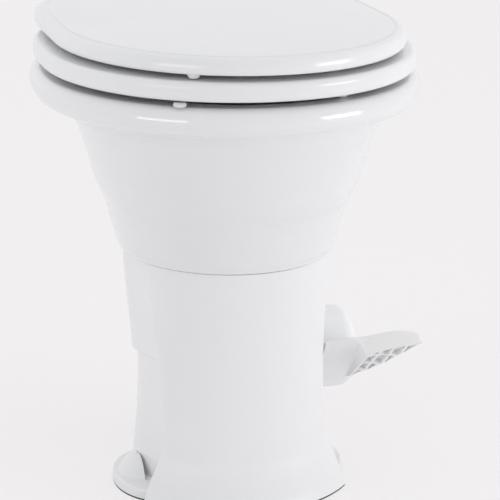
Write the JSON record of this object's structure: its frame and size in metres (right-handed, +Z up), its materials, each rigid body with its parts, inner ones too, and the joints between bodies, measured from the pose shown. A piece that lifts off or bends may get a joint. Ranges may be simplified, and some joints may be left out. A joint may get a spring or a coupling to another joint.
{
  "type": "rv toilet",
  "caption": "White gravity-flush toilet for a motorhome: ceramic bowl on a moulded pedestal, seat and lid, and a side foot pedal that turns a half-ball valve",
  "frame": {"origin": "centre of the bounding box's bottom face, on the floor under the bowl", "axes": "+Z up, -Y towards the front of the bowl, +X towards the side with the foot pedal"},
  "size_m": [0.3746, 0.4426, 0.471],
  "materials": {
    "glazed_ceramic": "gloss",
    "gloss_moulding": "gloss",
    "seat_plastic": "gloss",
    "bumper_rubber": "matte",
    "hinge_plastic": "satin",
    "valve_plastic": "matte",
    "ball_plastic": "satin",
    "bearing_plastic": "matte",
    "gear_plastic": "matte",
    "seal_rubber": "matte",
    "hose_rubber": "matte",
    "stainless_steel": "brushed",
    "brass": "satin"
  },
  "bodies": {
    "base": {"bowl": "glazed_ceramic", "pedestal": "gloss_moulding", "hinge_post_left": "hinge_plastic", "hinge_post_right": "hinge_plastic", "hinge_bolt_left": "hinge_plastic", "hinge_bolt_right": "hinge_plastic", "hinge_nut_left": "hinge_plastic", "hinge_nut_right": "hinge_plastic", "valve_body": "valve_plastic", "vacuum_breaker": "valve_plastic", "bowl_spud": "valve_plastic", "ball_bushing_left": "bearing_plastic", "ball_bushing_right": "bearing_plastic", "shaft_bearing": "bearing_plastic", "pedal_bushing": "bearing_plastic", "ball_seal": "seal_rubber", "bowl_seal": "seal_rubber", "floor_seal": "seal_rubber", "supply_hose": "hose_rubber", "hinge_pin_left": "stainless_steel", "hinge_pin_right": "stainless_steel", "clamp_band": "stainless_steel", "clamp_screw_front": "stainless_steel", "clamp_screw_rear": "stainless_steel", "return_spring": "stainless_steel", "hose_clamp_lower": "stainless_steel", "hose_clamp_upper": "stainless_steel", "water_valve_body": "brass", "inlet_nipple": "brass"},
    "seat": {"seat_ring": "seat_plastic", "seat_bumper_front_left": "bumper_rubber", "seat_bumper_front_right": "bumper_rubber", "seat_bumper_rear_left": "bumper_rubber", "seat_bumper_rear_right": "bumper_rubber"},
    "lid": {"lid": "seat_plastic", "lid_bumper_front_left": "bumper_rubber", "lid_bumper_front_right": "bumper_rubber", "lid_bumper_rear_left": "bumper_rubber", "lid_bumper_rear_right": "bumper_rubber"},
    "pedal": {"foot_pedal": "gloss_moulding", "pedal_cap": "gloss_moulding", "pedal_shaft": "stainless_steel", "sector_gear": "gear_plastic", "valve_cam": "gear_plastic"},
    "ball": {"flush_ball": "ball_plastic", "ball_shaft_left": "stainless_steel", "ball_shaft_right": "stainless_steel", "ball_pinion": "gear_plastic"},
    "plunger": {"valve_plunger": "stainless_steel"}
  },
  "joints": [
    {"name": "seat_hinge", "type": "hinge", "parent": "base", "child": "seat", "pos_m": [0, 0.2015, 0.4443], "axis": [-1, 0, 0], "range_deg": [0, 95]},
    {"name": "lid_hinge", "type": "hinge", "parent": "seat", "child": "lid", "pos_m": [0, 0.2015, 0.4443], "axis": [-1, 0, 0], "range_deg": [0, 95]},
    {"name": "pedal_press", "type": "hinge", "parent": "base", "child": "pedal", "pos_m": [0.09, 0.00944, 0.112], "axis": [1, 0, 0], "range_deg": [0, 40], "stiffness_Nm_per_rad": 3, "springref_deg": -28.65},
    {"name": "ball_turn", "type": "hinge", "parent": "base", "child": "ball", "pos_m": [0, -0.0235, 0.165], "axis": [1, 0, 0], "range_deg": [-90, 0]},
    {"name": "plunger_slide", "type": "slide", "parent": "base", "child": "plunger", "axis": [0, 1, 0], "range_m": [0, 0.004]}
  ],
  "couplings": [
    {"joint": "ball_turn", "follows": "pedal_press", "ratio": -2.25},
    {"joint": "plunger_slide", "follows": "pedal_press", "m_per_rad": 0.005729}
  ]
}
